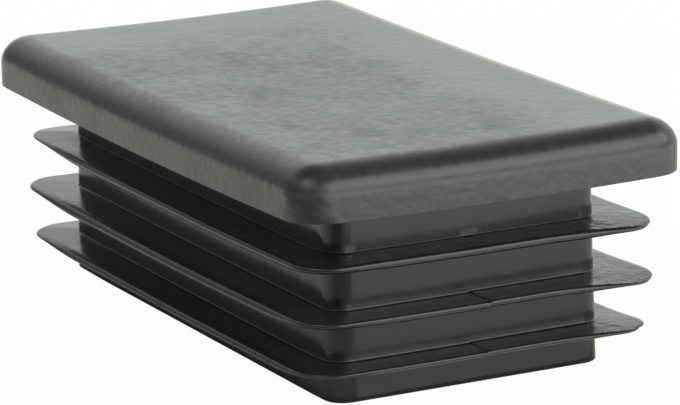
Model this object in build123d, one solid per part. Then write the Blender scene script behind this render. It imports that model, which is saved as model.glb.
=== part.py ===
"""Ribbed end cap for a rectangular tube, injection moulded in one piece.

A thick head covers the end of the tube and a hollow core with three thin fins goes inside it, where the fins
bend against the tube's walls and hold the cap. Sizes are in millimetres. +Z points up through the head, +X runs
along the long side, and the origin is the centre of the open end that the cap stands on.
"""
import os

from build123d import *

# The tube that the cap closes, by its outside
tube_length = 70.0
tube_width = 40.0
tube_corner_radius = 3.5

# Head: as large as the tube, with a flat shoulder underneath that meets the tube's end
head_thickness = 4.9
head_top_radius = 2.75
head_under_radius = 0.1
head_skin = 2.9

# Core: the hollow block below the head, set in from the tube's outside on each side
core_end_inset = 6.25
core_side_inset = 5.95
core_depth = 18.75
core_corner_radius = 2.1
core_wall = 2.0
core_rim_radius = 0.2
shoulder_fillet = 0.3

# Cavity: drafted so that the moulding comes off its steel core
cavity_draft_degrees = 1.0
cavity_corner_radius = 1.5
cavity_ceiling_fillet = 0.8

# Fins: flat on top and tapered underneath, from a thick root to a thin rim
fin_count = 3
first_fin_drop = 4.95
fin_pitch = 5.05
fin_end_reach = 3.9
fin_side_reach = 4.15
fin_corner_radius = 3.8
fin_rim_thickness = 0.6
fin_root_thickness = 0.95
fin_root_fillet = 0.15

# The last fin enters the tube first, so it is trimmed all round
lead_fin_end_trim = 0.8
lead_fin_side_trim = 0.5

core_length = tube_length - 2 * core_end_inset
core_width = tube_width - 2 * core_side_inset
shoulder_level = core_depth
top_level = shoulder_level + head_thickness
ceiling_level = top_level - head_skin


def rounded_plate(length, width, radius, level):
    """A rounded rectangle, centred on the Z axis at a level."""
    return Pos(Z=level) * RectangleRounded(length, width, radius)


def edges_at(solid, level, half_length, half_width):
    """The edges of a solid that lie flat at a level, no further out than a half length and a half width."""
    reach = 0.01
    found = ShapeList()
    for edge in solid.edges():
        box = edge.bounding_box()
        flat = abs(box.min.Z - level) < reach and abs(box.max.Z - level) < reach
        within_length = box.max.X < half_length + reach and box.min.X > -half_length - reach
        within_width = box.max.Y < half_width + reach and box.min.Y > -half_width - reach
        if flat and within_length and within_width:
            found.append(edge)
    return found


def make_head():
    """The slab over the tube's end: a soft radius round its top and a nearly sharp edge underneath."""
    slab = extrude(rounded_plate(tube_length, tube_width, tube_corner_radius, shoulder_level), head_thickness)
    slab = fillet(edges_at(slab, top_level, tube_length / 2, tube_width / 2), head_top_radius)
    return fillet(edges_at(slab, shoulder_level, tube_length / 2, tube_width / 2), head_under_radius)


def make_core():
    """The block below the head, still solid, with its lower outside edge rounded."""
    block = extrude(rounded_plate(core_length, core_width, core_corner_radius, 0), shoulder_level)
    return fillet(edges_at(block, 0, core_length / 2, core_width / 2), core_rim_radius)


def make_fin(level, end_trim, side_trim):
    """One fin all round the core, its flat top at a level and its underside rising to the rim."""
    length = core_length + 2 * (fin_end_reach - end_trim)
    width = core_width + 2 * (fin_side_reach - side_trim)
    rim_level = level - fin_rim_thickness
    rim = extrude(rounded_plate(length, width, fin_corner_radius, rim_level), fin_rim_thickness)
    buried = core_wall / 2
    root = rounded_plate(
        core_length - 2 * buried, core_width - 2 * buried, core_corner_radius - buried, level - fin_root_thickness
    )
    web = loft([root, rounded_plate(length, width, fin_corner_radius, rim_level)], ruled=True)
    return rim + web


def make_cavity():
    """The space inside the core, from its open end up into the head, narrowing as it goes up."""
    mouth = rounded_plate(core_length - 2 * core_wall, core_width - 2 * core_wall, cavity_corner_radius, 0)
    space = extrude(mouth, ceiling_level, taper=cavity_draft_degrees)
    ceiling_edges = space.faces().sort_by(Axis.Z)[-1].edges()
    return fillet(ceiling_edges, cavity_ceiling_fillet)


def make_end_cap():
    """The whole moulding: head, core and fins in one, softened where they meet, then hollowed."""
    cap = make_head() + make_core()
    cap = fillet(edges_at(cap, shoulder_level, core_length / 2, core_width / 2), shoulder_fillet)
    for number in range(fin_count):
        level = shoulder_level - first_fin_drop - number * fin_pitch
        is_lead_fin = number == fin_count - 1
        end_trim = lead_fin_end_trim if is_lead_fin else 0
        side_trim = lead_fin_side_trim if is_lead_fin else 0
        cap += make_fin(level, end_trim, side_trim)
        cap = fillet(edges_at(cap, level, core_length / 2, core_width / 2), fin_root_fillet)
    return cap - make_cavity()


end_cap = make_end_cap()
end_cap.label = "end_cap"

os.makedirs("parts", exist_ok=True)
export_step(end_cap, "parts/end_cap.step")
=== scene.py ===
"""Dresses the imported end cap: one black moulding for a rectangular tube, on a plain studio floor.

The moulding is a stack of rounded rectangles. A profile runs from the cavity's ceiling down inside the core, round
its foot, out and back over each fin, and up over the head to the middle of its top, and every point of the profile
is one rounded rectangle. Lengths in the profile are in millimetres, with level 0 at the shoulder under the head.
"""
import math
from collections import namedtuple

import bmesh
import bpy
from bpy.props import FloatProperty, FloatVectorProperty, PointerProperty
from mathutils import Matrix, Vector, noise


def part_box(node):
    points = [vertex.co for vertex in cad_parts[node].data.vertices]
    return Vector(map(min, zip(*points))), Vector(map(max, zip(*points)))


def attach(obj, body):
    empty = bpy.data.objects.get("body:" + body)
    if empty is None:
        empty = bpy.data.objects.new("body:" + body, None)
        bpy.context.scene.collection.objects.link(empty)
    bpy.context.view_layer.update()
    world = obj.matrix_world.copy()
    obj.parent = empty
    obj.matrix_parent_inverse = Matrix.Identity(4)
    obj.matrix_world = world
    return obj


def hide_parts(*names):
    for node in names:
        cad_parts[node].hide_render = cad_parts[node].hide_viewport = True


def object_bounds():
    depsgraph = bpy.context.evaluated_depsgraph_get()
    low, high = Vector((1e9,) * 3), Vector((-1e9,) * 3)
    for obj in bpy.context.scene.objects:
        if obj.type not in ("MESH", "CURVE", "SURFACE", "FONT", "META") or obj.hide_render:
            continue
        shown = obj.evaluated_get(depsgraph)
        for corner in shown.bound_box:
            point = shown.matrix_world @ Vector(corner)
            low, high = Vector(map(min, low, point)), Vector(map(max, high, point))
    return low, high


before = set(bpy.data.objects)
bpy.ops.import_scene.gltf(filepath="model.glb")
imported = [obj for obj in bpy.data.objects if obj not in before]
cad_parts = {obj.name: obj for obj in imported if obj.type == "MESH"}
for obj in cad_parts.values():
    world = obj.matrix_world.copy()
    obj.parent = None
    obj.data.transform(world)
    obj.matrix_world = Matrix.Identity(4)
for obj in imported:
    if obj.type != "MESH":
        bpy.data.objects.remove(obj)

bl_info = {
    "name": "Rectangular tube end cap",
    "version": (1, 0, 0),
    "blender": (4, 5, 0),
    "location": "3D View > Sidebar > End cap",
    "description": "Models, finishes and lights a ribbed end cap for a rectangular tube",
    "category": "Object",
}

MM = 0.001
CAD_NODE = "end_cap"
CAD_LOW, CAD_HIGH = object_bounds()
PIECE_LOW, PIECE_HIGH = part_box(CAD_NODE)
HEAD_END = (PIECE_HIGH.x - PIECE_LOW.x) / 2 / MM
HEAD_SIDE = (PIECE_HIGH.y - PIECE_LOW.y) / 2 / MM
TOTAL_HEIGHT = (PIECE_HIGH.z - PIECE_LOW.z) / MM

# Steps round each rounded rectangle: in a corner, along a long side and along a short side
CORNER_STEPS = 10
LONG_STEPS = 64
SHORT_STEPS = 36

# Steps from the edge of the cavity's ceiling and of the head's top to the line along their middle
CEILING_STEPS = 6
TOP_STEPS = 16

# Small sizes that stay as they are, in millimetres: the fillets under the head, under the fins' roots and round the
# cavity's ceiling, the round of the cavity's mouth and the smallest radius of an outline's corners
HEAD_ROOT = 0.3
UNDER_ROOT = 0.08
CEILING_FILLET = 0.8
MOUTH_ROUND = 0.15
LEAST_CORNER = 0.05

# The ramp under a fin's rim reaches in this many times as far as it is high
RAMP_SLOPE = 1.7

# Millimetres out from the core at which a point counts as wholly on a fin
FIN_REACH = 4

# Millimetres past both of the core's walls at which a fin is all corner, and at which it begins to be one at the left
# and the right end; below 0 is inside the walls
CORNER_FULL = 2.5
CORNER_BEGINS_LEFT = -10
CORNER_BEGINS_RIGHT = -5

# Shares of a fin's half length at which it begins to drift and at which its rear right tip begins, and the shares of
# its half width at which that tip begins and is full
DRIFT_BEGINS = 0.2
TIP_BEGINS_ALONG = 0.8
TIP_BEGINS_ACROSS, TIP_FULL_ACROSS = 0.3, 0.95

# Share of the core's half length at which a fin's root begins to be raised
RAISED_FROM = 0.75

# Share of the way from one fin to the next at which values begin to blend
BLEND_BEGINS = 0.2

# The mould's halves meet between the first points on each side of the middle, at this share of the way to the corner,
# and the next points stand close by so that the step stays sharp
SEAM = 0.002
BESIDE_SEAM = 0.02

# Size in millimetres of the waves in the fins' rims, along the rim and from one fin to the next
WAVE_LENGTH = 11
WAVE_APART = 3

# Metres that the floor lies under the cap's foot and that the cards lie over its level, so that no faces coincide
FLOOR_GAP = 0.00002
CARD_GAP = 0.00005

# Steps along a card that curves round the cap
CARD_STEPS = 24

# Sockets of a Mix node that mixes colours
COLOUR_A, COLOUR_B, MIXED = 6, 7, 2

# An outline is a rounded rectangle: half its length, half its width, its corners' radius and its level
Outline = namedtuple("Outline", "end side corner level")

# A fin, with lengths in millimetres:
# over and under: height of its rim's round upper part and of the ramp under it
# curl: how far the rim curls down on the long sides
# raised and lifted: how much higher the fin leaves the core at its end walls, and how far its rim is lifted
# root: radius of the fillet on top of its root
# dip and parting: its share of the dips, and of the parting step
# thin: how much of its thickness is missing at its left corners and at its near and rear corners on the right
# left, right and tip: how far it has drifted along x, y and z at its left end, its right end and its rear right tip
Fin = namedtuple("Fin", "over under curl raised lifted root dip parting thin left right tip")
FINS = (
    Fin(
        over=0.40, under=0.50, curl=0.08, raised=0.20, lifted=0.13, root=0.08, dip=0.70, parting=0.1,
        thin=(0.75, 0.2, 0.43), left=(-0.20, 0.38, -0.24), right=(0.0, 0.08, 0.02), tip=(1.14, -0.08, 0.05),
    ),
    Fin(
        over=0.32, under=0.42, curl=0.36, raised=-0.05, lifted=0.0, root=0.15, dip=1.00, parting=1.0,
        thin=(0.41, 0.2, 0.66), left=(0.05, -0.25, -0.06), right=(0.07, 0.13, 0.06), tip=(1.03, 0.15, -0.2),
    ),
    Fin(
        over=0.25, under=0.36, curl=0.34, raised=0.18, lifted=0.05, root=0.15, dip=0.75, parting=0.8,
        thin=(0.75, 0.4, 0.65), left=(-0.80, -0.30, -0.09), right=(0.62, -0.10, 0.11), tip=(1.3, 0.52, -0.02),
    ),
)
# The last fin enters the tube first
LEAD_FIN = len(FINS) - 1


def srgb(code):
    """An sRGB hex colour as linear red, green, blue and alpha."""
    channels = [int(code[i : i + 2], 16) / 255 for i in (1, 3, 5)]
    return [c / 12.92 if c <= 0.04045 else ((c + 0.055) / 1.055) ** 2.4 for c in channels] + [1.0]


def length(name, description, default):
    """A property that holds a length, with its default in millimetres."""
    return FloatProperty(name=name, description=description, default=default * MM, unit="LENGTH", precision=5)


def factor(name, description, default, unit="NONE"):
    """A property that holds a plain number, or one in the unit given."""
    return FloatProperty(name=name, description=description, default=default, unit=unit)


def angle(name, description, default):
    """A property that holds an angle, with its default in degrees."""
    return FloatProperty(name=name, description=description, default=math.radians(default), subtype="ANGLE")


def colour(name, description, code):
    """A property that holds a colour, with its default as an sRGB hex code."""
    return FloatVectorProperty(
        name=name, description=description, default=srgb(code)[:3], size=3, min=0, max=1, subtype="COLOR"
    )


class EndCapSizes(bpy.types.PropertyGroup):
    """Sizes of the moulding that the frame's box doesn't give."""

    head_thickness: length("Head thickness", "Height of the head above its shoulder", 4.9)
    head_corner: length("Head corner radius", "Radius of the head's corners from above", 3.5)
    head_round: length("Head top radius", "Height of the curve round the top of the head", 2.75)
    head_reach: length("Head top reach", "How far in from the side that curve reaches", 3.25)
    head_edge: length("Head edge radius", "Radius of the head's sharp lower edge", 0.05)
    head_skin: length("Head skin", "Plastic between the cavity and the top of the head", 2.9)
    core_end: length("Core half length", "From the middle to the core's end wall, at the shoulder", 28.67)
    core_side: length("Core half width", "From the middle to the core's side wall, at the shoulder", 13.94)
    core_end_spread: length("Core spread at ends", "How much further out the end walls stand at the foot", 0.13)
    core_side_spread: length("Core spread at sides", "How much further out the side walls stand at the foot", 0.28)
    core_corner: length("Core corner radius", "Radius of the core's upright corners", 2.1)
    core_wall: length("Core wall", "Thickness of the core's wall at its foot", 2.0)
    core_foot: length("Core foot radius", "Radius of the core's lower outside edge", 0.15)
    cavity_corner: length("Cavity corner radius", "Radius of the cavity's upright corners", 1.5)
    cavity_draft: length("Cavity draft", "How much the cavity's walls lean in from foot to ceiling", 0.36)
    fin_drop: length("First fin drop", "From the shoulder down to the first fin", 4.9)
    fin_pitch: length("Fin pitch", "From one fin down to the next", 5.05)
    fin_end: length("Fin half length", "From the middle to the rim of a fin at the cap's ends", 32.6)
    fin_side: length("Fin half width", "From the middle to the rim of a fin at the long sides", 18.15)
    fin_corner: length("Fin corner radius", "Radius of the fins' corners from above", 3.8)
    fin_curl: length("Fin curl", "How far in from its rim a fin begins to curl down", 0.9)
    fin_root: length("Fin root thickness", "Thickness of a fin where it leaves the core", 0.95)
    lead_end_trim: length("Lead fin trim at ends", "How much further in the last fin stops at the ends", 1.0)
    lead_side_trim: length("Lead fin trim at sides", "How much further in the last fin stops at the sides", 0.45)
    head_crown: length("Head crown", "Extra height at the top that the dips below take back", 0.12)
    head_dip_long: length("Head dip along", "How far shrinkage pulls the middle of the head down along it", 0.36)
    head_dip_lean: length("Head dip lean", "How much deeper that dip is at the long side in front", 0.09)
    head_dip_cross: length("Head dip across", "How far shrinkage pulls the middle of the head down across it", 0.27)
    fin_dip_long: length("Fin dip along", "How far shrinkage pulls the middle of the fins down along them", 0.44)
    fin_stiff: factor("Fin stiffness", "Share of those dips at the fins' roots", 0.5)
    fin_dip_cross: length("Fin dip across", "How far shrinkage pulls the middle of the fins down across", 0.14)
    core_turn: length("Core turn", "How far the foot has turned sideways at the core's ends", 0.15)
    fin_wave: length("Fin waviness", "How far the thin rims wander up and down", 0.05)
    tip_droop: length("Tip droop", "How far the fins' tips behind the right end hang down", 0.25)
    parting_step: length("Parting step", "How far the mould's two halves miss each other", 0.09)


class EndCapFinish(bpy.types.PropertyGroup):
    """Colours and grain of the plastic, with a lighter colour painted on its upward faces as top light."""

    plastic: colour("Plastic", "Colour of the black polyethylene where it is smooth", "#1a1918")
    # Painted top light: a lighter colour for the satin plastic's upward faces, the tops of the fins, standing in for
    # light that falls on them
    duller: colour("Plastic with painted top light", "Its colour on the tops of the fins", "#262524")
    matt: colour("Matt plastic", "Its greyer colour where it is textured", "#2a2c2a")
    grain: length("Grain", "Size of the matt grain on the head", 1.0)
    clouds: length("Clouds", "Size of the patches where the head's skin is glossier or duller", 7.0)
    wrinkles: length("Wrinkles", "Size of the wrinkles that the thin fins froze with", 1.4)
    drags: length("Drag marks", "Width of the upright marks that the mould left on the core's walls", 2.5)
    polish: factor("Polish", "How much less rough the head is at its left and rear edges", 0.18)


def section_arc(base, out, level, radius, start, end, steps=4, rise=None):
    """Outlines along an arc of the profile, from outwards (0 degrees) to upwards (90); a rise makes it elliptical."""
    found = []
    for step in range(steps + 1):
        turned = math.radians(start + (end - start) * step / steps)
        reach = out + radius * math.cos(turned)
        corner = max(base.corner + reach, LEAST_CORNER)
        height = (rise or radius) * math.sin(turned)
        found.append(Outline(base.end + reach, base.side + reach, corner, level + height))
    return found


def run(first, last, steps):
    """Outlines evenly spaced between two others, without either of them."""
    return [Outline(*(a + (b - a) * step / steps for a, b in zip(first, last))) for step in range(1, steps)]


def closing(edge, steps):
    """Outlines that shrink from an edge to the line along its middle."""
    found = []
    for step in range(1, steps + 1):
        side = edge.side * (1 - step / steps)
        found.append(Outline(edge.end - edge.side + side, side, min(edge.corner, side), edge.level))
    return found


class Profile:
    """The moulding's profile as outlines, built up stretch by stretch."""

    def __init__(self):
        self.outlines = []
        self.head_from = 0

    def add(self, outlines, steps=5):
        """Adds a stretch, after a straight run of steps from where the profile stands."""
        if self.outlines:
            self.outlines += run(self.outlines[-1], outlines[0], steps)
        self.outlines += outlines


def in_mm(group):
    """A property group's lengths as plain millimetres."""
    names = group.__annotations__
    shares = ("fin_stiff",)
    return namedtuple("Sizes", names)(*(getattr(group, name) / (1 if name in shares else MM) for name in names))


def core_at(s, level):
    """The core's outline at a level; its walls spread a little towards the foot."""
    depth = TOTAL_HEIGHT - s.head_thickness
    share = -level / depth
    end = s.core_end + share * s.core_end_spread
    side = s.core_side + share * s.core_side_spread
    return Outline(end, side, s.core_corner, level)


def add_cavity(profile, s):
    """From the middle of the cavity's ceiling, down its walls and round its mouth."""
    foot = s.head_thickness - TOTAL_HEIGHT
    ceiling = s.head_thickness - s.head_skin
    core = core_at(s, foot)
    mouth = Outline(core.end - s.core_wall, core.side - s.core_wall, s.cavity_corner, foot)
    top = Outline(mouth.end - s.cavity_draft, mouth.side - s.cavity_draft, s.cavity_corner - s.cavity_draft, ceiling)
    edge = section_arc(top, -CEILING_FILLET, ceiling - CEILING_FILLET, CEILING_FILLET, 90, 0)
    profile.outlines += closing(edge[0], CEILING_STEPS)[::-1]
    profile.add(edge, 1)
    profile.add(section_arc(mouth, MOUTH_ROUND, foot + MOUTH_ROUND, MOUTH_ROUND, 180, 270, 2), 6)
    profile.add(section_arc(core, -s.core_foot, foot + s.core_foot, s.core_foot, -90, 0, 6), 2)


def add_fin(profile, s, number):
    """Out along a fin's sloping underside, up the ramp and round its rim, and back along its flat top."""
    level = fin_level(s, number)
    trimmed = number == LEAD_FIN
    core = core_at(s, level)
    fin = FINS[number]
    under = level - s.fin_root
    profile.add(section_arc(core, UNDER_ROOT, under - UNDER_ROOT, UNDER_ROOT, 180, 90, 3), 6)
    rim = Outline(s.fin_end - trimmed * s.lead_end_trim, s.fin_side - trimmed * s.lead_side_trim, s.fin_corner, level)
    inner = Outline(rim.end - s.fin_curl, rim.side - s.fin_curl, rim.corner - s.fin_curl, level)
    ramp = RAMP_SLOPE * fin.under
    profile.add([inner._replace(level=level - fin.over - fin.under)], 6)
    profile.add(section_arc(rim, -ramp, level - fin.over, ramp, -90, 0, 7, fin.under), 1)
    profile.add(section_arc(rim, -fin.over, level - fin.over, fin.over, 9, 90, 9), 1)
    profile.add([inner], 4)
    profile.add(section_arc(core, fin.root, level + fin.root, fin.root, 270, 180, 4), 7)


def add_head(profile, s):
    """Out along the shoulder, up the head's side and over its round edge to the middle of its top."""
    head = Outline(HEAD_END, HEAD_SIDE, s.head_corner, 0)
    profile.add(section_arc(core_at(s, 0), HEAD_ROOT, -HEAD_ROOT, HEAD_ROOT, 180, 90, 3), 6)
    profile.head_from = len(profile.outlines)
    profile.add(section_arc(head, -s.head_edge, s.head_edge, s.head_edge, -90, 0, 4), 5)
    top = s.head_thickness + s.head_crown
    profile.add(section_arc(head, -s.head_reach, top - s.head_round, s.head_reach, 0, 90, 14, s.head_round), 3)
    profile.outlines += closing(profile.outlines[-1], TOP_STEPS)


def ring(outline):
    """Points round an outline, from the middle of its +X side towards +Y."""
    end, side, corner = outline.end, outline.side, outline.corner
    straight_end, straight_side = end - corner, side - corner
    half = SHORT_STEPS // 2
    upper = [straight_side * share for share in (SEAM, BESIDE_SEAM)]
    upper += [straight_side * step / half for step in range(1, half)]
    quarter_turn = [math.radians(90 * step / CORNER_STEPS) for step in range(CORNER_STEPS + 1)]
    long_side = [straight_end * (1 - 2 * step / LONG_STEPS) for step in range(1, LONG_STEPS)]
    points = [(end, y) for y in upper]
    points += [(straight_end + corner * math.cos(a), straight_side + corner * math.sin(a)) for a in quarter_turn]
    points += [(x, side) for x in long_side]
    points += [(-straight_end - corner * math.sin(a), straight_side + corner * math.cos(a)) for a in quarter_turn]
    points += [(-end, y) for y in reversed(upper)]
    return points + [(-x, -y) for x, y in points]


def smooth(value, low, high):
    """0 below low, 1 above high and an even rise between them."""
    share = min(max((value - low) / (high - low), 0), 1)
    return share * share * (3 - 2 * share)


def fin_level(s, number):
    """The level of a fin's top, counted from the head down."""
    return -s.fin_drop - number * s.fin_pitch


def fin_at(s, level):
    """The number of the fin that a level belongs to."""
    return min(max(round((-level - s.fin_drop) / s.fin_pitch), 0), LEAD_FIN)


def blended(s, level, values):
    """A value for each fin, blended evenly over the core between them."""
    down = min(max((-level - s.fin_drop) / s.fin_pitch, 0), LEAD_FIN)
    above = min(int(down), LEAD_FIN - 1)
    return values[above] + (values[above + 1] - values[above]) * smooth(down - above, BLEND_BEGINS, 1)


def out_share(x, y, s):
    """How far out a point stands: 0 at the core's walls and 1 where a fin ends."""
    return min(max(abs(x) - s.core_end, abs(y) - s.core_side, 0) / FIN_REACH, 1)


def drifted(x, y, level, s):
    """Where a point on a flexible fin has moved to: thin at its corners, curled and drifted at its rim and wavy."""
    share = out_share(x, y, s)
    if not share:
        return Vector((x, y, level))
    number = fin_at(s, level)
    fin = FINS[number]
    top = fin_level(s, number)
    past_both = min(abs(x) - s.core_end, abs(y) - s.core_side)
    cornered = smooth(past_both, CORNER_BEGINS_LEFT if x < 0 else CORNER_BEGINS_RIGHT, CORNER_FULL)
    thin = fin.thin[0 if x < 0 else 1 if y < 0 else 2]
    level = top + (level - top) * (1 - thin * share * cornered)
    trim = s.lead_side_trim if number == LEAD_FIN else 0
    curl = max(1 - (s.fin_side - trim - abs(y)) / s.fin_curl, 0) ** 2
    level += fin.lifted * share - fin.curl * curl * (1 - cornered)
    wave = noise.noise(Vector((x / WAVE_LENGTH, y / WAVE_LENGTH, top / WAVE_APART)))
    moved = Vector((x, y, level + s.fin_wave * share * wave))
    left, right = smooth(-x / s.fin_end, DRIFT_BEGINS, 1), smooth(x / s.fin_end, DRIFT_BEGINS, 1)
    tip = smooth(x / s.fin_end, TIP_BEGINS_ALONG, 1) * smooth(y / s.fin_side, TIP_BEGINS_ACROSS, TIP_FULL_ACROSS)
    for amount, drift in zip((left, right, tip), (fin.left, fin.right, fin.tip)):
        moved += Vector(drift) * share * amount
    moved.z -= s.tip_droop * share * tip**4
    return moved


def settled(x, y, level, s):
    """Where shrinkage and the mould's own error leave a point of the moulding."""
    foot = s.head_thickness - TOTAL_HEIGHT
    head_share = smooth(level, -s.fin_drop, 0)
    stands = smooth(level, foot, fin_level(s, LEAD_FIN))
    along = 1 - (x / HEAD_END) ** 2
    across = 1 - (y / HEAD_SIDE) ** 2
    flexed = s.fin_stiff + (1 - s.fin_stiff) * out_share(x, y, s)
    flexed *= blended(s, level, [fin.dip for fin in FINS])
    fin_long, fin_cross = s.fin_dip_long * flexed, s.fin_dip_cross * flexed
    dip_long = fin_long + (s.head_dip_long - s.head_dip_lean * y / HEAD_SIDE - fin_long) * head_share
    dip_cross = fin_cross + (s.head_dip_cross - fin_cross) * head_share
    lift = -stands * (dip_long * along + dip_cross * across)
    if level < 0 and y > 0:
        lift += s.parting_step * stands * blended(s, level, [fin.parting for fin in FINS])
    if level < -s.fin_drop / 2:
        ends = smooth(abs(x) / s.core_end, RAISED_FROM, 1) * (1 - out_share(x, y, s))
        lift += FINS[fin_at(s, level)].raised * ends * stands
        x, y, level = drifted(x, y, level, s)
    turn = s.core_turn / s.core_end * (1 - smooth(level, foot, 0))
    return Vector((x - turn * y, y + turn * x, level + lift))


def build_moulding(s):
    """The moulding's mesh, one ring of vertices for each outline of its profile."""
    profile = Profile()
    add_cavity(profile, s)
    for number in reversed(range(len(FINS))):
        add_fin(profile, s, number)
    add_head(profile, s)
    shoulder = PIECE_HIGH.z - s.head_thickness * MM
    mesh = bmesh.new()
    rows = []
    for outline in profile.outlines:
        points = [settled(x, y, outline.level, s) * MM for x, y in ring(outline)]
        rows.append([mesh.verts.new(point + Vector((0, 0, shoulder))) for point in points])
    for number, (lower, upper) in enumerate(zip(rows, rows[1:])):
        for step in range(len(lower)):
            ahead = (step + 1) % len(lower)
            face = mesh.faces.new((lower[step], lower[ahead], upper[ahead], upper[step]))
            face.material_index = int(number < profile.head_from)
            face.smooth = True
    bmesh.ops.remove_doubles(mesh, verts=mesh.verts, dist=1e-7)
    bmesh.ops.recalc_face_normals(mesh, faces=mesh.faces)
    return mesh


def add_node(tree, kind, settings=None, values=None, links=None):
    """Adds a shader node, with its settings, the values of its sockets and the sockets that feed it."""
    node = tree.nodes.new(kind)
    for name, value in (settings or {}).items():
        setattr(node, name, value)
    for name, value in (values or {}).items():
        node.inputs[name].default_value = value
    for name, socket in (links or {}).items():
        tree.links.new(socket, node.inputs[name])
    return node


def new_material(name):
    """An empty node material and its tree."""
    material = bpy.data.materials.new(name)
    material.use_nodes = True
    material.node_tree.nodes.clear()
    return material, material.node_tree


def matt_head_plastic(finish):
    """Polyethylene moulded against spark-eroded steel: matt, with a fine uneven grain that catches low light."""
    material, tree = new_material("matt_moulded_polyethylene")
    place = add_node(tree, "ShaderNodeTexCoord")
    grain = add_node(
        tree, "ShaderNodeTexNoise",
        values={"Scale": 1 / finish.grain, "Detail": 1.0, "Roughness": 0.5},
        links={"Vector": place.outputs["Object"]},
    )
    geometry = add_node(tree, "ShaderNodeNewGeometry")
    slope = add_node(tree, "ShaderNodeSeparateXYZ", links={0: geometry.outputs["Normal"]})
    on_side = add_node(
        tree, "ShaderNodeMapRange",
        values={"From Min": 0.3, "From Max": 0.8, "To Min": 2.0, "To Max": 1.0}, links={"Value": slope.outputs["Z"]},
    )
    bump = add_node(
        tree, "ShaderNodeBump",
        values={"Distance": 0.00002},
        links={"Height": grain.outputs["Fac"], "Strength": on_side.outputs["Result"]},
    )
    axes = add_node(tree, "ShaderNodeSeparateXYZ", links={0: place.outputs["Object"]})
    left = add_node(
        tree, "ShaderNodeMapRange", {"interpolation_type": "SMOOTHSTEP"},
        values={"From Min": -0.014, "From Max": -0.034, "To Max": finish.polish}, links={"Value": axes.outputs["X"]},
    )
    rear = add_node(
        tree, "ShaderNodeMapRange", {"interpolation_type": "SMOOTHSTEP"},
        values={"From Min": 0.003, "From Max": 0.017, "To Max": finish.polish}, links={"Value": axes.outputs["Y"]},
    )
    polished = add_node(
        tree, "ShaderNodeMath", {"operation": "MAXIMUM"}, links={0: left.outputs["Result"], 1: rear.outputs["Result"]}
    )
    clouds = add_node(
        tree, "ShaderNodeTexNoise",
        values={"Scale": 1 / finish.clouds, "Detail": 2.0, "Roughness": 0.6},
        links={"Vector": place.outputs["Object"]},
    )
    cloudy = add_node(
        tree, "ShaderNodeMapRange",
        values={"From Min": 0.3, "From Max": 0.7, "To Min": 0.23, "To Max": 0.33},
        links={"Value": clouds.outputs["Fac"]},
    )
    mottle = add_node(
        tree, "ShaderNodeMapRange",
        values={"From Min": 0.3, "From Max": 0.7, "To Min": -0.04, "To Max": 0.04},
        links={"Value": grain.outputs["Fac"]},
    )
    matt = add_node(
        tree, "ShaderNodeMath", {"operation": "ADD"}, links={0: cloudy.outputs["Result"], 1: mottle.outputs["Result"]}
    )
    on_top = add_node(
        tree, "ShaderNodeMapRange",
        values={"From Min": 0.9, "From Max": 0.99, "To Min": 0.0, "To Max": -1.0}, links={"Value": slope.outputs["Z"]},
    )
    rough = add_node(
        tree, "ShaderNodeMath", {"operation": "MULTIPLY_ADD"},
        links={0: polished.outputs[0], 1: on_top.outputs["Result"], 2: matt.outputs[0]},
    )
    shader = add_node(
        tree, "ShaderNodeBsdfPrincipled",
        values={"Base Color": [*finish.matt, 1], "IOR": 1.51},
        links={"Normal": bump.outputs["Normal"], "Roughness": rough.outputs[0]},
    )
    add_node(tree, "ShaderNodeOutputMaterial", links={"Surface": shader.outputs["BSDF"]})
    return material


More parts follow.
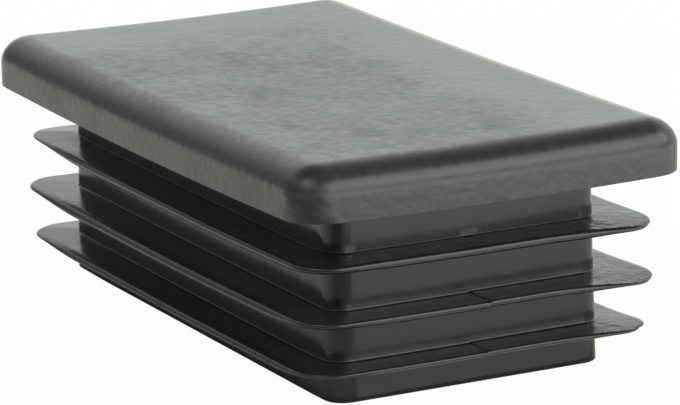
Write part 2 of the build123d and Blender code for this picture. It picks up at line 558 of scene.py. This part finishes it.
def satin_core_plastic(finish):
    """The same polyethylene moulded against smoother steel: a satin skin on the core and the fins, a little rougher on
    their upward faces, which also get a lighter colour as painted top light.
    """
    material, tree = new_material("satin_moulded_polyethylene")
    place = add_node(tree, "ShaderNodeTexCoord")
    wrinkles = add_node(
        tree, "ShaderNodeTexNoise",
        values={"Scale": 1 / finish.wrinkles, "Detail": 3.0, "Roughness": 0.55, "Distortion": 0.6},
        links={"Vector": place.outputs["Object"]},
    )
    geometry = add_node(tree, "ShaderNodeNewGeometry")
    slope = add_node(tree, "ShaderNodeSeparateXYZ", links={0: geometry.outputs["Normal"]})
    axes = add_node(tree, "ShaderNodeSeparateXYZ", links={0: place.outputs["Object"]})
    rearward = add_node(
        tree, "ShaderNodeMapRange",
        values={"From Min": 0.0, "From Max": 0.03, "To Min": 0.4, "To Max": 3.0}, links={"Value": axes.outputs["X"]},
    )
    upward = add_node(
        tree, "ShaderNodeMapRange",
        values={"From Min": 0.8, "From Max": 0.98, "To Min": 0.0},
        links={"Value": slope.outputs["Z"], "To Max": rearward.outputs["Result"]},
    )
    bump = add_node(
        tree, "ShaderNodeBump",
        values={"Distance": 0.00004},
        links={"Height": wrinkles.outputs["Fac"], "Strength": upward.outputs["Result"]},
    )
    upright = add_node(
        tree, "ShaderNodeVectorMath", {"operation": "MULTIPLY"},
        values={1: (1, 1, 0.2)}, links={0: place.outputs["Object"]},
    )
    drags = add_node(
        tree, "ShaderNodeTexNoise",
        values={"Scale": 1 / finish.drags, "Detail": 2.0, "Roughness": 0.5},
        links={"Vector": upright.outputs["Vector"]},
    )
    dragged = add_node(
        tree, "ShaderNodeBump",
        values={"Strength": 1.0, "Distance": 0.00003},
        links={"Height": drags.outputs["Fac"], "Normal": bump.outputs["Normal"]},
    )
    # How much a face looks upwards: it mixes in the lighter colour there as painted top light, and raises the
    # roughness a little
    flat = add_node(
        tree, "ShaderNodeMapRange", values={"From Min": 0.5, "From Max": 0.9}, links={"Value": slope.outputs["Z"]}
    )
    skin = add_node(
        tree, "ShaderNodeMix", {"data_type": "RGBA"},
        values={COLOUR_A: [*finish.plastic, 1], COLOUR_B: [*finish.duller, 1]}, links={0: flat.outputs["Result"]},
    )
    rough = add_node(
        tree, "ShaderNodeMapRange", values={"To Min": 0.17, "To Max": 0.23}, links={"Value": flat.outputs["Result"]}
    )
    shader = add_node(
        tree, "ShaderNodeBsdfPrincipled",
        values={"IOR": 1.51},
        links={
            "Base Color": skin.outputs[MIXED],
            "Roughness": rough.outputs["Result"],
            "Normal": dragged.outputs["Normal"],
        },
    )
    add_node(tree, "ShaderNodeOutputMaterial", links={"Surface": shader.outputs["BSDF"]})
    return material


class EndCapMoulding(bpy.types.Operator):
    """Model the head, core and fins as one moulding, with its finish"""

    bl_idname = "end_cap.make_moulding"
    bl_label = "Moulding"

    def execute(self, context):
        data = bpy.data.meshes.new("moulded_cap")
        mesh = build_moulding(in_mm(context.scene.end_cap_sizes))
        mesh.to_mesh(data)
        mesh.free()
        finish = context.scene.end_cap_finish
        data.materials.append(matt_head_plastic(finish))
        data.materials.append(satin_core_plastic(finish))
        piece = bpy.data.objects.new("moulded_cap", data)
        context.scene.collection.objects.link(piece)
        piece.modifiers.new("even_flats", "WEIGHTED_NORMAL")
        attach(piece, "root")
        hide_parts(CAD_NODE)
        return {"FINISHED"}


class EndCapStudio(bpy.types.PropertyGroup):
    """Floor, lamps and camera."""

    floor: colour("Floor", "Colour of the studio floor", "#f4f3ee")
    floor_glow: factor("Floor glow", "Share of the floor's white that shows no shadow near the cap", 0.97)
    floor_shine: factor("Floor shine", "Share of white in what the cap reflects of the floor", 0.9)
    horizon: factor("Horizon", "Light from the white backdrop", 1.15)
    ceiling: factor("Ceiling", "Light from overhead", 0.15)
    front: factor("Front", "Low light from the camera's side, as a share of the rest", 0.29)
    panel: factor("Panel", "Glow of the panel on the floor", 2.1)
    light: colour("Light", "Colour of the studio's light", "#f9fff9")
    key_power: factor("Key light", "Power of the main lamp", 1.9, "POWER")
    fill_power: factor("Fill light", "Power of the lamp on the camera's side", 0.55, "POWER")
    azimuth: angle("Azimuth", "Camera's turn round the cap", 62.9)
    elevation: angle("Elevation", "Camera's height over the horizon", 14.17)
    roll: angle("Roll", "Camera's tilt to one side", -1.02)
    distance: length("Camera distance", "From the camera to the point it aims at", 395.7)
    lens: factor("Lens", "Focal length in millimetres", 215.74)


def sheet(name, rows, material, only_mirrored=False):
    """A staged sheet through rows of points, as a grid of faces."""
    mesh = bmesh.new()
    grid = [[mesh.verts.new(point) for point in row] for row in rows]
    for lower, upper in zip(grid, grid[1:]):
        for step in range(len(lower) - 1):
            mesh.faces.new((lower[step], lower[step + 1], upper[step + 1], upper[step]))
    data = bpy.data.meshes.new(name)
    mesh.to_mesh(data)
    mesh.free()
    data.materials.append(material)
    piece = bpy.data.objects.new(name, data)
    if only_mirrored:
        piece.visible_camera = piece.visible_diffuse = piece.visible_shadow = False
    bpy.context.scene.collection.objects.link(piece)


def add_floor(studio):
    """A plain pale floor that looks white and keeps the cap's shadow."""
    material, tree = new_material("pale_paper_floor")
    path = add_node(tree, "ShaderNodeLightPath")
    mirrored = add_node(
        tree, "ShaderNodeMath", {"operation": "ADD"},
        links={0: path.outputs["Is Glossy Ray"], 1: path.outputs["Is Transmission Ray"]},
    )
    place = add_node(tree, "ShaderNodeTexCoord")
    distance = add_node(tree, "ShaderNodeVectorMath", {"operation": "LENGTH"}, links={0: place.outputs["Object"]})
    far = add_node(
        tree, "ShaderNodeMapRange", {"interpolation_type": "SMOOTHSTEP"},
        values={"From Min": 0.07, "From Max": 0.25, "To Min": studio.floor_glow, "To Max": 1.0},
        links={"Value": distance.outputs["Value"]},
    )
    beside = add_node(
        tree, "ShaderNodeVectorMath", {"operation": "MULTIPLY"},
        values={1: (0.5, 1.0, 1.0)}, links={0: place.outputs["Object"]},
    )
    away = add_node(tree, "ShaderNodeVectorMath", {"operation": "LENGTH"}, links={0: beside.outputs["Vector"]})
    far_mirrored = add_node(
        tree, "ShaderNodeMapRange", {"interpolation_type": "SMOOTHSTEP"},
        values={"From Min": 0.018, "From Max": 0.06, "To Min": 0.0, "To Max": studio.floor_shine},
        links={"Value": away.outputs["Value"]},
    )
    seen = add_node(
        tree, "ShaderNodeMath", {"operation": "MULTIPLY"},
        links={0: path.outputs["Is Camera Ray"], 1: far.outputs["Result"]},
    )
    share = add_node(
        tree, "ShaderNodeMath", {"operation": "MULTIPLY_ADD"},
        links={0: mirrored.outputs[0], 1: far_mirrored.outputs["Result"], 2: seen.outputs[0]},
    )
    diffuse_layer = add_node(tree, "ShaderNodeBsdfDiffuse", values={"Color": [*studio.floor, 1]})
    tint = add_node(
        tree, "ShaderNodeMix", {"data_type": "RGBA"},
        values={COLOUR_A: (1, 1, 1, 1), COLOUR_B: (0.97, 1, 0.9, 1)}, links={0: mirrored.outputs[0]},
    )
    white = add_node(tree, "ShaderNodeEmission", values={"Strength": 1.0}, links={"Color": tint.outputs[MIXED]})
    both = add_node(
        tree, "ShaderNodeMixShader", links={0: share.outputs[0], 1: diffuse_layer.outputs[0], 2: white.outputs[0]}
    )
    add_node(tree, "ShaderNodeOutputMaterial", links={"Surface": both.outputs[0]})
    half = 3.0
    below = CAD_LOW.z - FLOOR_GAP
    sheet("studio_floor", [[(-half, y, below), (half, y, below)] for y in (-half, half)], material)


def direction(azimuth, elevation):
    """From the cap towards a viewer; azimuth 0 stands in front of the long side and 90 at its right end."""
    level = math.cos(elevation)
    return Vector((math.sin(azimuth) * level, -math.cos(azimuth) * level, math.sin(elevation)))


def add_world(studio):
    """A white horizon that darkens overhead, and a little low down on the camera's side."""
    world = bpy.data.worlds.new("studio")
    world.use_nodes = True
    tree = world.node_tree
    tree.nodes.clear()
    place = add_node(tree, "ShaderNodeTexCoord")
    axes = add_node(tree, "ShaderNodeSeparateXYZ", links={0: place.outputs["Generated"]})
    height = add_node(
        tree, "ShaderNodeMapRange", {"interpolation_type": "SMOOTHSTEP"},
        values={"From Min": 0.45, "From Max": 0.9, "To Min": studio.horizon, "To Max": studio.ceiling},
        links={"Value": axes.outputs["Z"]},
    )
    toward = add_node(
        tree, "ShaderNodeVectorMath", {"operation": "DOT_PRODUCT"},
        values={1: direction(math.radians(-10), 0.0)}, links={0: place.outputs["Generated"]},
    )
    low = add_node(
        tree, "ShaderNodeMapRange", {"interpolation_type": "SMOOTHSTEP"},
        values={"From Min": 0.33, "From Max": 0.72, "To Min": studio.front, "To Max": 1.0},
        links={"Value": axes.outputs["Z"]},
    )
    front = add_node(
        tree, "ShaderNodeMapRange", {"interpolation_type": "SMOOTHSTEP"},
        values={"From Min": -0.05, "From Max": 0.6, "To Min": 1.0},
        links={"Value": toward.outputs["Value"], "To Max": low.outputs["Result"]},
    )
    both = add_node(
        tree, "ShaderNodeMath", {"operation": "MULTIPLY"},
        links={0: height.outputs["Result"], 1: front.outputs["Result"]},
    )
    soft = add_node(
        tree, "ShaderNodeBackground", values={"Color": [*studio.light, 1]}, links={"Strength": both.outputs[0]}
    )
    add_node(tree, "ShaderNodeOutputWorld", links={"Surface": soft.outputs[0]})
    bpy.context.scene.world = world


def fan(first, last, reach, level):
    """Points round the cap at one level, from one azimuth to another in degrees."""
    turns = [math.radians(first + (last - first) * step / CARD_STEPS) for step in range(CARD_STEPS + 1)]
    return [direction(turn, 0.0) * reach + Vector((0, 0, level)) for turn in turns]


def add_dark_card(ground):
    """An upright dark card that only the cap reflects, before its near corner."""
    material, tree = new_material("dark_card")
    card = add_node(tree, "ShaderNodeBsdfDiffuse", values={"Color": (0.08, 0.08, 0.08, 1)})
    add_node(tree, "ShaderNodeOutputMaterial", links={"Surface": card.outputs[0]})
    rows = [fan(-28, 66, 0.09, ground + height) for height in (0.003, 0.0125)]
    sheet("dark_card", rows, material, only_mirrored=True)


def add_painted_floor_shadow(ground):
    """Painted shadow: a dark sheet on the floor round the cap's near corner that only the cap reflects, soft at its
    left edge and darker away from the cap.
    """
    material, tree = new_material("dark_paper")
    place = add_node(tree, "ShaderNodeTexCoord")
    beside = add_node(tree, "ShaderNodeVectorMath", {"operation": "NORMALIZE"}, links={0: place.outputs["Object"]})
    towards = add_node(
        tree, "ShaderNodeVectorMath", {"operation": "DOT_PRODUCT"},
        values={1: (1, 0, 0)}, links={0: beside.outputs["Vector"]},
    )
    solid = add_node(
        tree, "ShaderNodeMapRange", {"interpolation_type": "SMOOTHSTEP"},
        values={"From Min": math.sin(math.radians(12)), "From Max": math.sin(math.radians(52))},
        links={"Value": towards.outputs["Value"]},
    )
    distance = add_node(tree, "ShaderNodeVectorMath", {"operation": "LENGTH"}, links={0: place.outputs["Object"]})
    shade = add_node(
        tree, "ShaderNodeMapRange",
        values={"From Min": 0.05, "From Max": 0.09, "To Min": 0.8, "To Max": 0.3},
        links={"Value": distance.outputs["Value"]},
    )
    clear = add_node(tree, "ShaderNodeBsdfTransparent")
    # Its grey paints the floor's shadow into what the cap reflects
    diffuse_layer = add_node(tree, "ShaderNodeBsdfDiffuse", links={"Color": shade.outputs["Result"]})
    both = add_node(
        tree, "ShaderNodeMixShader", links={0: solid.outputs["Result"], 1: clear.outputs[0], 2: diffuse_layer.outputs[0]}
    )
    add_node(tree, "ShaderNodeOutputMaterial", links={"Surface": both.outputs[0]})
    rows = [fan(0, last, reach, ground) for last, reach in ((80, 0.045), (98, 0.1))]
    sheet("dark_paper", rows, material, only_mirrored=True)


def add_glowing_panel(studio, ground):
    """A panel that only the cap reflects: it glows on the floor by the right end and rises at its far edge."""
    material, tree = new_material("glowing_panel")
    place = add_node(tree, "ShaderNodeTexCoord")
    outward = add_node(
        tree, "ShaderNodeVectorMath", {"operation": "DOT_PRODUCT"},
        values={1: (1, 0.5, 0)}, links={0: place.outputs["Object"]},
    )
    near = add_node(
        tree, "ShaderNodeMapRange", {"interpolation_type": "SMOOTHSTEP"},
        values={"From Min": 0.035, "From Max": 0.1, "To Min": 1.1, "To Max": 0.72 * studio.panel},
        links={"Value": outward.outputs["Value"]},
    )
    rising = add_node(
        tree, "ShaderNodeMapRange", {"interpolation_type": "SMOOTHSTEP"},
        values={"From Min": 0.112, "From Max": 0.16, "To Max": 1.55 * studio.panel},
        links={"Value": outward.outputs["Value"], "To Min": near.outputs["Result"]},
    )
    axes = add_node(tree, "ShaderNodeSeparateXYZ", links={0: place.outputs["Object"]})
    fading = add_node(
        tree, "ShaderNodeMapRange",
        values={"From Min": 0.0, "From Max": 0.13, "To Max": 0.95 * studio.panel},
        links={"Value": axes.outputs["Z"], "To Min": rising.outputs["Result"]},
    )
    card = add_node(
        tree, "ShaderNodeEmission", values={"Color": (0.96, 1, 0.94, 1)}, links={"Strength": fading.outputs["Result"]}
    )
    add_node(tree, "ShaderNodeOutputMaterial", links={"Surface": card.outputs[0]})
    front = ((30, -11, 0), (92, 15, 0), (112, -20, 0), (400, -60, 0), (400, -60, 130))
    rows = [[Vector((x * MM, y * MM, ground + z * MM)) for x, y, z in front]]
    rows.append([Vector((x * MM, 0.3, ground + z * MM)) for x, y, z in front])
    sheet("glowing_panel", rows, material, only_mirrored=True)


def add_lamp(name, tint, azimuth, elevation, distance, size, power):
    """A soft rectangular lamp that looks at the cap."""
    light = bpy.data.lights.new(name, "AREA")
    light.color = tint
    light.shape = "RECTANGLE"
    light.size, light.size_y = size
    light.energy = power
    lamp = bpy.data.objects.new(name, light)
    back = direction(math.radians(azimuth), math.radians(elevation))
    lamp.location = back * distance
    lamp.rotation_euler = (-back).to_track_quat("-Z", "Y").to_euler()
    bpy.context.scene.collection.objects.link(lamp)


def add_camera(studio):
    """A long lens, low over the head's near corner."""
    camera = bpy.data.cameras.new("camera")
    camera.lens = studio.lens
    camera.sensor_width = 36.0
    camera.clip_start, camera.clip_end = 0.01, 20.0
    seen = bpy.data.objects.new("camera", camera)
    back = direction(studio.azimuth, studio.elevation)
    aim = Vector((0.70, 1.38, 10.82)) * MM
    turn = (-back).to_track_quat("-Z", "Y").to_matrix().to_4x4()
    seen.matrix_world = Matrix.Translation(aim + back * studio.distance) @ turn @ Matrix.Rotation(studio.roll, 4, "Z")
    bpy.context.scene.collection.objects.link(seen)
    bpy.context.scene.camera = seen


class EndCapStage(bpy.types.Operator):
    """Set up the floor, the soft light and the camera"""

    bl_idname = "end_cap.make_stage"
    bl_label = "Stage"

    def execute(self, context):
        studio = context.scene.end_cap_studio
        add_floor(studio)
        add_world(studio)
        ground = CAD_LOW.z + CARD_GAP
        add_dark_card(ground)
        # Painted shadow on the floor, seen only in the cap's reflections
        add_painted_floor_shadow(ground)
        add_glowing_panel(studio, ground)
        add_lamp(
            "key_softbox", studio.light,
            azimuth=128, elevation=36, distance=0.6, size=(0.75, 0.34), power=studio.key_power,
        )
        add_lamp(
            "fill_lamp", studio.light,
            azimuth=20, elevation=52, distance=0.6, size=(0.3, 0.3), power=studio.fill_power,
        )
        add_camera(studio)
        context.scene.view_settings.view_transform = "Standard"
        return {"FINISHED"}


class EndCapPanel(bpy.types.Panel):
    """Lists what makes the end cap and its stage"""

    bl_idname = "VIEW3D_PT_end_cap"
    bl_label = "End cap"
    bl_space_type = "VIEW_3D"
    bl_region_type = "UI"
    bl_category = "End cap"

    def draw(self, context):
        for operator in (EndCapMoulding, EndCapStage):
            self.layout.operator(operator.bl_idname)
        for group in (context.scene.end_cap_sizes, context.scene.end_cap_finish, context.scene.end_cap_studio):
            column = self.layout.column(align=True)
            for name in group.__annotations__:
                column.prop(group, name)


CLASSES = (EndCapSizes, EndCapFinish, EndCapStudio, EndCapMoulding, EndCapStage, EndCapPanel)


def register():
    for entry in CLASSES:
        bpy.utils.register_class(entry)
    bpy.types.Scene.end_cap_sizes = PointerProperty(type=EndCapSizes)
    bpy.types.Scene.end_cap_finish = PointerProperty(type=EndCapFinish)
    bpy.types.Scene.end_cap_studio = PointerProperty(type=EndCapStudio)


def unregister():
    del bpy.types.Scene.end_cap_studio
    del bpy.types.Scene.end_cap_finish
    del bpy.types.Scene.end_cap_sizes
    for entry in reversed(CLASSES):
        bpy.utils.unregister_class(entry)


def main():
    register()
    bpy.ops.end_cap.make_moulding()
    bpy.ops.end_cap.make_stage()


if __name__ == "__main__":
    main()
